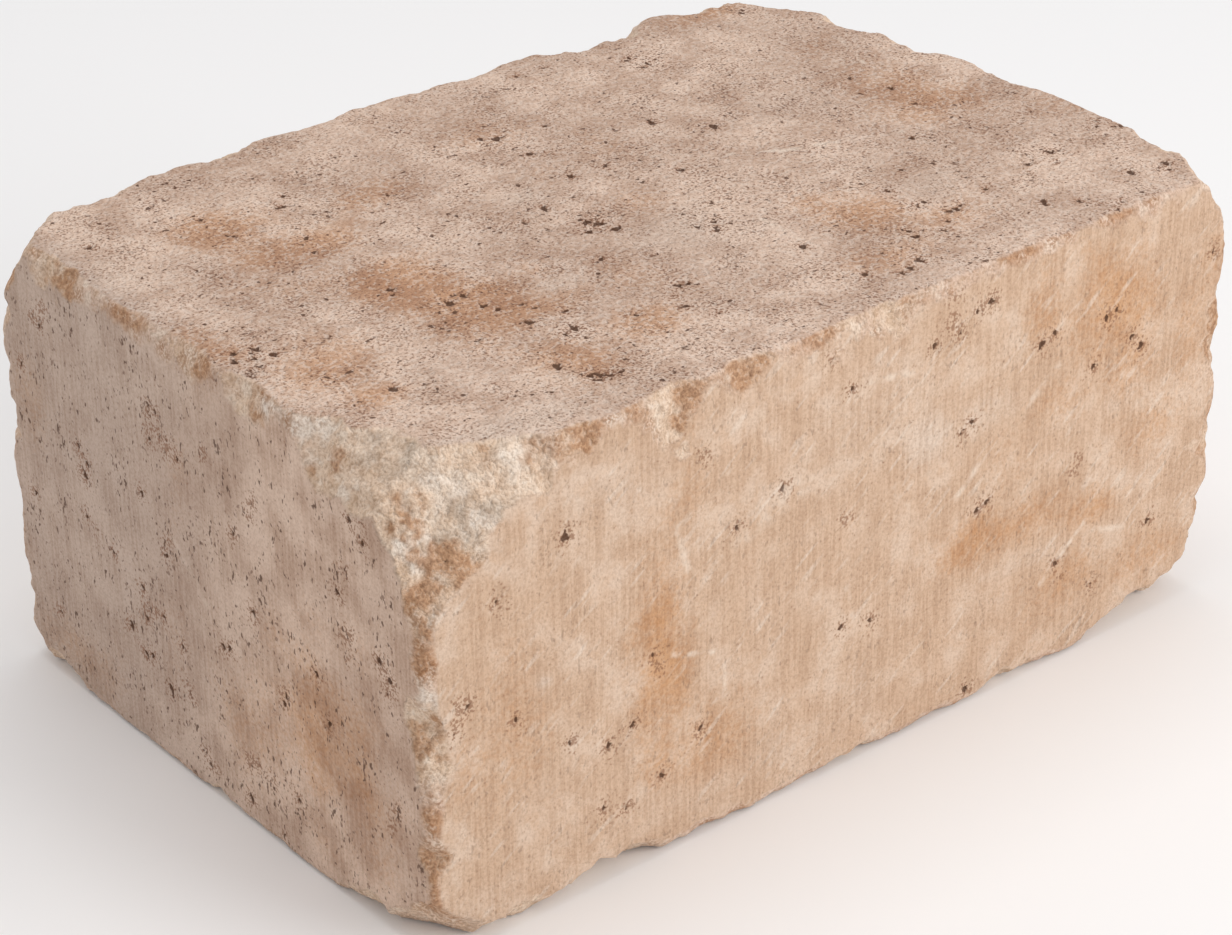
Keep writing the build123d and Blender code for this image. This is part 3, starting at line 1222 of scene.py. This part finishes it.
@dataclass(frozen=True)
class Pattern:
    """Clouds of noise that several layers may read, by the width in millimetres they are drawn at."""

    width: float
    detail: float
    stretch: tuple[float, float, float] = (1.0, 1.0, 1.0)
    turn: tuple[float, float, float] = (0.0, 0.0, 0.0)


# Each pattern is moved by so many widths times its number, so that no two line up
PATTERN_SHIFT = (13.7, 5.1, 2.3)

# Stones and granules have the real aggregate's width. Sand of about 0.3 mm is too fine to
# show in the render, so its grains are drawn as coarse as they need to be.
PATTERNS = {
    "stones": Pattern(5, 3),
    "granules": Pattern(1.5, 2),
    "sand": Pattern(0.8, 1),
    "mould lines": Pattern(1.0, 1, (1, 1, 22)),
    "scratches": Pattern(2.2, 1, (7, 1, 1), (8, 36, 12)),
    # Flecks and holes are where the material paints the shade of small blow holes as dark spots
    "flecks": Pattern(1.15, 1, (1, 1, 1.9)),
    "holes": Pattern(1.8, 1),
}


@dataclass(frozen=True)
class Step:
    """Where a layer shows: from none of it to the whole of it, as a source goes.

    A source is a share of the mesh or a pattern. Another one times push is added to it,
    which gathers its spots or makes its outline ragged."""

    source: str
    none: float = 0.0
    whole: float = 1.0
    pushed_by: str = ""
    push: float = 0.0


@dataclass(frozen=True)
class Layer:
    """One thing that the concrete shows, laid over those before it."""

    colour: str
    strength: float
    steps: tuple[Step, ...]
    blend: str = "MIX"


@dataclass(frozen=True)
class Grain:
    """Relief too fine for the mesh: a pattern's height in millimetres, all over or on a share."""

    pattern: str
    height: float
    share: str = ""


@dataclass(frozen=True)
class Scuff:
    """A pale scratch that another block left in the tumbler, by its two ends on a side."""

    side: Side
    start: tuple[float, float]
    end: tuple[float, float]
    half_width: float = 0.9
    strength: float = 0.6


SCUFFS = (
    Scuff(Side.FRONT, (81, 101), (85, 86), 1.9, 0.7),
    Scuff(Side.FRONT, (80, 62), (94, 57), 1.4, 0.9),
    Scuff(Side.FRONT, (98, 51), (98, 42), 1.4),
    Scuff(Side.FRONT, (88, 79), (96, 85), 1.9),
    Scuff(Side.FRONT, (183, 71), (193, 80), 1.9, 0.6),
    Scuff(Side.FRONT, (207, 89), (221, 99), 2.2, 0.55),
    Scuff(Side.FRONT, (219, 29), (236, 43), 1.5, 0.8),
    Scuff(Side.FRONT, (240, 39), (253, 35), 1.7),
    Scuff(Side.FRONT, (159, 83), (165, 76), 2.4),
    Scuff(Side.FRONT, (142, 58), (144, 47), 1.7),
    Scuff(Side.FRONT, (103, 88), (126, 97), 5.1, 0.45),
    Scuff(Side.FRONT, (149, 119), (167, 116), 1.9),
    Scuff(Side.LEFT, (113, 77), (99, 63), 2.0, 0.35),
    Scuff(Side.TOP, (180, 105), (201, 93), 1.7, 0.9),
    Scuff(Side.TOP, (200, 93), (236, 80), 1.9, 0.9),
    Scuff(Side.TOP, (165, 62), (164, 45), 1.7, 0.8),
    Scuff(Side.TOP, (263, 125), (273, 150), 1.5, 0.8),
)

CONCRETE_LAYERS = (
    # Sand and cement skin, cloudy where the mix was wetter
    Layer("b49784", 0.45, (Step("clouds", 0.38, 0.62),)),
    Layer("ad8b75", 0.46, (Step("mottle", 0.56, 0.84, "stones", 0.3),)),
    Layer("d0b196", 0.82, (Step("front"),)),
    Layer("dfc9b6", 0.50, (Step("front"), Step("mottle", 0.72, 0.48, "clouds", 0.3),
                           Step("stones", 0.30, 0.58))),
    # Painted shade: cool grey on the left end, more towards the back
    Layer("bfac9f", 0.60, (Step("grey"),)),
    # Rust-brown stains and pale dust
    Layer("e8c59b", 0.80, (Step("rust", 0.38, 1.20, "granules", 0.7),), "MULTIPLY"),
    Layer("dfcdbd", 0.60, (Step("pale", 0.40, 1.20, "granules", 0.6),)),
    Layer("e8d9ca", 0.40, (Step("front"), Step("scratches", 0.56, 0.72), Step("clusters", 0.42, 0.60))),
    # Upright lines that the mould drew, about a millimetre apart
    Layer("d2c3b6", 0.30, (Step("moulded"), Step("mould lines", 0.40, 0.62),
                           Step("mottle", 0.30, 0.56)), "MULTIPLY"),
    # Fine sand all over, and gritty stained ground round the holes
    Layer("c4b6a8", 0.26, (Step("sand", 0.38, 0.66),), "MULTIPLY"),
    Layer("8e664d", 0.65, (Step("ring", 1.42, 1.66, "sand", 2.0),)),
    # The open, granular top and bed
    Layer("ab8470", 0.32, (Step("level"), Step("rust", 0.45, 1.20, "granules", 0.7))),
    Layer("a3806a", 0.25, (Step("level"), Step("granules", 0.48, 0.64))),
    Layer("dfcec0", 0.34, (Step("level"), Step("granules", 0.50, 0.36))),
    Layer("7c5540", 0.60, (Step("level"), Step("sand", 0.70, 0.84, "clusters", 0.3))),
    # Painted shade of tiny holes in the top and bed, drawn as dark spots
    Layer("543829", 0.88, (Step("level"), Step("holes", 0.81, 0.90, "clusters", 0.25))),
    # Painted shade of fine blow holes too small for the mesh, drawn as dark flecks, upright on the
    # moulded sides and fewer at the front
    Layer("5a4235", 0.82, (Step("moulded"), Step("flecks", 0.81, 0.89, "clusters", 0.3),
                           Step("front", 1.6, 0.0))),
    Layer("74594a", 0.60, (Step("moulded"), Step("holes", 0.84, 0.90, "clusters", 0.3),
                           Step("front", 1.6, 0.0))),
    # Rubbed and broken arrises
    Layer("d8baa4", 0.74, (Step("worn"),)),
    Layer("e6cdb4", 0.75, (Step("fresh"),)),
    Layer("c9a98b", 0.42, (Step("worn"), Step("stones", 0.50, 0.64))),
    Layer("f1e1cf", 0.42, (Step("worn"), Step("stones", 0.47, 0.35))),
    Layer("b2a597", 0.50, (Step("worn"), Step("grey spot", 0.40, 1.10, "stones", 0.6))),
    Layer("f3e8db", 0.60, (Step("worn"), Step("white spot", 0.45, 1.00, "stones", 0.6))),
    Layer("b98a64", 0.74, (Step("worn"), Step("rust spot", 0.48, 1.05, "stones", 0.7))),
    Layer("8f6344", 0.42, (Step("worn"), Step("rust spot", 0.15, 0.75), Step("granules", 0.46, 0.62))),
    Layer("a87852", 0.60, (Step("worn"), Step("fresh", 1.3, 0.0), Step("lumps", 0.50, 0.66),
                           Step("sand", 0.36, 0.54))),
    Layer("a5876f", 0.30, (Step("worn"), Step("granules", 0.52, 0.68))),
    Layer("f6e8d9", 0.20, (Step("worn"), Step("granules", 0.47, 0.33))),
    Layer("b09c88", 0.34, (Step("worn"), Step("sand", 0.42, 0.66)), "MULTIPLY"),
    # Painted shade in the larger blow holes and crevices of the mesh, darker the deeper they are; the
    # brown also stands for the dust in them
    Layer("553a2b", 0.88, (Step("hollow", 0.52, 0.95, "sand", 0.6),)),
)

# Scuffs are thin where the stones lie low
SCUFF_STEPS = (Step("stones", 0.38, 0.66),)

GRAINS = (
    Grain("sand", 0.45),
    Grain("granules", 1.1, "open"),
)


@dataclass(frozen=True)
class TumbledConcrete:
    """Dry-cast concrete from a steel mould, then tumbled.

    It gives the eye a sandy tan skin with fine upright mould lines, rust-brown stains, blow holes and
    crevices darkened by painted shade, a left end greyed by painted shade, pale scuffs, and cream mottled
    stone where the arrises are broken."""

    size: tuple[float, float, float]
    sand: str = "e0c5b1"
    scuff: str = "e7d5c3"
    roughness: float = 0.9
    specular: float = 0.12
    ior: float = 1.5

    def build(self) -> bpy.types.Material:
        """Builds the material, layer over layer, on patterns in millimetres.

        Returns:
            The finished material.
        """
        material = bpy.data.materials.new("tumbled_dry_cast_concrete")
        material.use_nodes = True
        tree = material.node_tree
        tree.nodes.clear()
        coordinates = add_node(tree, "TexCoord").outputs["Object"]
        place = add_node(tree, "Mapping", {"Vector": coordinates, "Scale": (1 / METRES,) * 3}).outputs[0]
        sources = self.sources(tree, place)
        base = add_node(tree, "RGB").outputs[0]
        base.default_value = linear_colour(self.sand)
        colour, height = base, 0.0
        for layer in CONCRETE_LAYERS:
            cover = self.cover(tree, sources, layer.steps, layer.strength)
            colour = add_node(tree, "Mix", {0: cover, 6: colour, 7: linear_colour(layer.colour)},
                              data_type="RGBA", blend_type=layer.blend).outputs[2]
        for grain in GRAINS:
            here = grain.height
            if grain.share:
                part = {0: sources[grain.share], 1: grain.height}
                here = add_node(tree, "Math", part, operation="MULTIPLY").outputs[0]
            relief = {0: sources[grain.pattern], 1: here, 2: height}
            height = add_node(tree, "Math", relief, operation="MULTIPLY_ADD").outputs[0]
        colour = self.scuffed(tree, sources, place, colour)
        bump = add_node(tree, "Bump", {"Height": height, "Distance": METRES})
        shader = add_node(tree, "BsdfPrincipled", {
            "Base Color": colour, "Normal": bump.outputs["Normal"], "Roughness": self.roughness,
            "Specular IOR Level": self.specular, "IOR": self.ior,
        })
        add_node(tree, "OutputMaterial", {"Surface": shader.outputs["BSDF"]})
        return material

    def sources(self, tree: Tree, place: Socket) -> dict[str, Socket]:
        """Makes every share and pattern that a step may name.

        Args:
            tree: the material's nodes.
            place: coordinates in millimetres.

        Returns:
            Sockets by name.
        """
        found = {}
        for number, (name, pattern) in enumerate(PATTERNS.items()):
            turned = place
            if any(pattern.turn):
                turn = tuple(math.radians(angle) for angle in pattern.turn)
                turned = add_node(tree, "Mapping", {"Vector": place, "Rotation": turn}).outputs[0]
            moved = add_node(tree, "Mapping", {
                "Vector": turned, "Location": tuple(shift * number for shift in PATTERN_SHIFT),
                "Scale": tuple(1 / (pattern.width * part) for part in pattern.stretch),
            }).outputs[0]
            noise = add_node(tree, "TexNoise", {"Vector": moved, "Scale": 1.0, "Detail": pattern.detail})
            found[name] = noise.outputs["Fac"]
        steps = [step for layer in CONCRETE_LAYERS for step in layer.steps]
        named = {name for step in steps for name in (step.source, step.pushed_by) if name}
        named |= {grain.share for grain in GRAINS if grain.share}
        for name in sorted(named - found.keys()):
            found[name] = add_node(tree, "Attribute", attribute_name=name).outputs["Fac"]
        return found

    def cover(self, tree: Tree, sources: dict[str, Socket], steps: tuple[Step, ...],
              strength: Socket | float) -> Socket:
        """Works out where and how strongly a layer shows.

        Args:
            tree: the material's nodes.
            sources: shares and patterns by name.
            steps: where it shows.
            strength: how strongly it shows there.

        Returns:
            The strength times every step, each a smooth step of its source.
        """
        cover = strength
        for step in steps:
            part = sources[step.source]
            if step.push:
                pushed = {0: sources[step.pushed_by], 1: step.push, 2: part}
                part = add_node(tree, "Math", pushed, operation="MULTIPLY_ADD").outputs[0]
            if (step.none, step.whole) != (0.0, 1.0):
                part = add_node(tree, "MapRange", {
                    "Value": part, "From Min": step.none, "From Max": step.whole,
                }, interpolation_type="SMOOTHSTEP").outputs[0]
            cover = add_node(tree, "Math", {0: part, 1: cover}, operation="MULTIPLY").outputs[0]
        return cover

    def scuff_group(self) -> Tree:
        """Node group of one scuff: how near a place is to the line between two ends.

        The share of the way along the line is the place's dot product with the run over
        its squared length, less the start's, kept within 0 and 1. The cover falls
        smoothly from the nearest place on the line out to the half width.

        Returns:
            The node group.
        """
        group = bpy.data.node_groups.new("scuff", "ShaderNodeTree")
        inputs = {name: "Vector" for name in ("Place", "Start", "Run", "Rate")}
        inputs |= {name: "Float" for name in ("Start Share", "Half Width", "Strength")}
        for name, kind in inputs.items():
            group.interface.new_socket(name, in_out="INPUT", socket_type=f"NodeSocket{kind}")
        group.interface.new_socket("Cover", in_out="OUTPUT", socket_type="NodeSocketFloat")
        ends = group.nodes.new("NodeGroupInput").outputs
        share = add_node(group, "VectorMath", {0: ends["Place"], 1: ends["Rate"]},
                         operation="DOT_PRODUCT")
        along = add_node(group, "Math", {0: share.outputs["Value"], 1: ends["Start Share"]},
                         operation="SUBTRACT", use_clamp=True)
        nearest = add_node(group, "VectorMath", {0: ends["Run"], 1: along.outputs[0], 2: ends["Start"]},
                           operation="MULTIPLY_ADD")
        off = add_node(group, "VectorMath", {0: ends["Place"], 1: nearest.outputs[0]},
                       operation="DISTANCE")
        cover = add_node(group, "MapRange", {
            "Value": off.outputs["Value"], "From Min": 0.0, "From Max": ends["Half Width"],
            "To Min": ends["Strength"], "To Max": 0.0,
        }, interpolation_type="SMOOTHSTEP")
        group.links.new(cover.outputs[0], group.nodes.new("NodeGroupOutput").inputs["Cover"])
        return group

    def row_place(self, side: Side, place: tuple[float, float]) -> Vector:
        """Turns a place on one side into a point of the row frame.

        Args:
            side: the side of the block.
            place: millimetres along its two axes, from the block's lower left front corner.

        Returns:
            The point, in millimetres.
        """
        spans = iter(place)
        far_or_near = self.size[side.axis] if side.is_far else 0.0
        corner = [far_or_near if axis == side.axis else next(spans) for axis in range(3)]
        return Vector(corner) - Vector((self.size[0] / 2, self.size[1] / 2, 0))

    def scuffed(self, tree: Tree, sources: dict[str, Socket], place: Socket, colour: Socket) -> Socket:
        """Lays the single scuffs over a colour.

        Args:
            tree: the material's nodes.
            sources: shares and patterns by name.
            place: coordinates in millimetres.
            colour: the colour so far.

        Returns:
            The colour with the scuffs.
        """
        group = self.scuff_group()
        cover = None
        for scuff in SCUFFS:
            start, end = self.row_place(scuff.side, scuff.start), self.row_place(scuff.side, scuff.end)
            rate = (end - start) / (end - start).length_squared
            node = add_node(tree, "Group", node_tree=group)
            constants = {
                "Start": start, "Run": end - start, "Rate": rate, "Start Share": start.dot(rate),
                "Half Width": scuff.half_width, "Strength": scuff.strength,
            }
            for name, value in constants.items():
                node.inputs[name].default_value = value
            tree.links.new(place, node.inputs["Place"])
            single = node.outputs["Cover"]
            cover = single if cover is None else add_node(
                tree, "Math", {0: cover, 1: single}, operation="MAXIMUM").outputs[0]
        cover = self.cover(tree, sources, SCUFF_STEPS, cover)
        return add_node(tree, "Mix", {0: cover, 6: colour, 7: linear_colour(self.scuff)},
                        data_type="RGBA").outputs[2]


@dataclass(frozen=True)
class Studio:
    """A pale floor, soft light from the right and front, and even light all round."""

    floor_colour: str = "f4f2f0"
    floor_roughness: float = 0.9
    floor_width: float = 6.0
    sky_colour: str = "fbfcff"
    sky_strength: float = 0.72
    key_strength: float = 11.0
    overhead_strength: float = 6.0
    key_direction: tuple[float, float, float] = (0.42, -0.85, 0.42)
    overhead_direction: tuple[float, float, float] = (0.0, 0.1, 1.0)
    aim_height: float = 0.07
    panel_distance: float = 1.6
    panel_width: float = 1.0

    def build(self) -> None:
        """Makes the floor, the sky and the two lights."""
        self.floor()
        world = bpy.data.worlds.new("studio")
        world.use_nodes = True
        background = world.node_tree.nodes["Background"]
        background.inputs["Color"].default_value = linear_colour(self.sky_colour)
        background.inputs["Strength"].default_value = self.sky_strength
        bpy.context.scene.world = world
        self.panel("key", self.key_direction, self.key_strength)
        self.panel("overhead", self.overhead_direction, self.overhead_strength)
        bpy.context.scene.view_settings.view_transform = "Standard"

    def floor(self) -> None:
        """Makes the floor, one square at the height of the block's bed."""
        half = self.floor_width / 2
        mesh = bpy.data.meshes.new("floor")
        corners = [(-half, -half, 0), (half, -half, 0), (half, half, 0), (-half, half, 0)]
        mesh.from_pydata(corners, [], [(0, 1, 2, 3)])
        material = bpy.data.materials.new("matt_white_board")
        material.use_nodes = True
        shader = material.node_tree.nodes["Principled BSDF"]
        shader.inputs["Base Color"].default_value = linear_colour(self.floor_colour)
        shader.inputs["Roughness"].default_value = self.floor_roughness
        mesh.materials.append(material)
        floor = bpy.data.objects.new("floor", mesh)
        bpy.context.scene.collection.objects.link(floor)

    def panel(self, name: str, way: tuple[float, float, float], strength: float) -> None:
        """Makes one soft light, a square panel that faces the block.

        Args:
            name: the light's name.
            way: direction from the block to the panel.
            strength: its power in watts.
        """
        light = bpy.data.lights.new(name, "AREA")
        light.energy = strength
        light.size = self.panel_width
        lamp = bpy.data.objects.new(name, light)
        direction = Vector(way).normalized()
        lamp.location = direction * self.panel_distance + Vector((0, 0, self.aim_height))
        lamp.rotation_euler = direction.to_track_quat("Z", "Y").to_euler()
        bpy.context.scene.collection.objects.link(lamp)


@dataclass(frozen=True)
class PhotoCamera:
    """The photograph's camera, fitted to the block's edges, in millimetres and degrees."""

    azimuth: float = -39.254
    elevation: float = 29.242
    roll: float = -0.663
    distance: float = 976.307
    shift_right: float = -1.342
    shift_up: float = -15.738
    focal_pixels: float = 3360.093
    frame_pixels: float = 1232.0
    sensor_width: float = 36.0
    aim_height: float = 70.0
    clip_near: float = 50.0
    clip_far: float = 20_000.0

    def build(self) -> None:
        """Makes the camera and hands it to the scene."""
        azimuth, elevation, roll = (math.radians(a) for a in (self.azimuth, self.elevation, self.roll))
        back = Vector((math.sin(azimuth) * math.cos(elevation),
                       -math.cos(azimuth) * math.cos(elevation), math.sin(elevation)))
        level_right = Vector((0, 0, 1)).cross(back).normalized()
        level_up = back.cross(level_right)
        right = level_right * math.cos(roll) + level_up * math.sin(roll)
        up = level_up * math.cos(roll) - level_right * math.sin(roll)
        place = (Vector((0, 0, self.aim_height)) + back * self.distance
                 + right * self.shift_right + up * self.shift_up) * METRES
        data = bpy.data.cameras.new("photo_camera")
        data.sensor_width = self.sensor_width
        data.lens = self.sensor_width * self.focal_pixels / self.frame_pixels
        data.clip_start, data.clip_end = self.clip_near * METRES, self.clip_far * METRES
        camera = bpy.data.objects.new("photo_camera", data)
        camera.matrix_world = Matrix.Translation(place) @ Matrix((right, up, back)).transposed().to_4x4()
        bpy.context.scene.collection.objects.link(camera)
        bpy.context.scene.camera = camera


def main() -> None:
    """Builds the camera, the block, its material and the studio."""
    logging.basicConfig(level=logging.INFO, format="%(name)s: %(message)s")
    low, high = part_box(NODE)
    size = tuple((far - near) / METRES for near, far in zip(low, high))
    PhotoCamera().build()
    spacing = SPACING
    block = BlockMesh(WornForm(size), spacing).build()
    block.data.materials.append(TumbledConcrete(size).build())
    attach(block, "root")
    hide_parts(NODE)
    counts = len(block.data.vertices), len(block.data.polygons)
    LOG.info("%s: %d vertices, %d triangles", block.name, *counts)
    Studio().build()


if __name__ == "__main__":
    main()
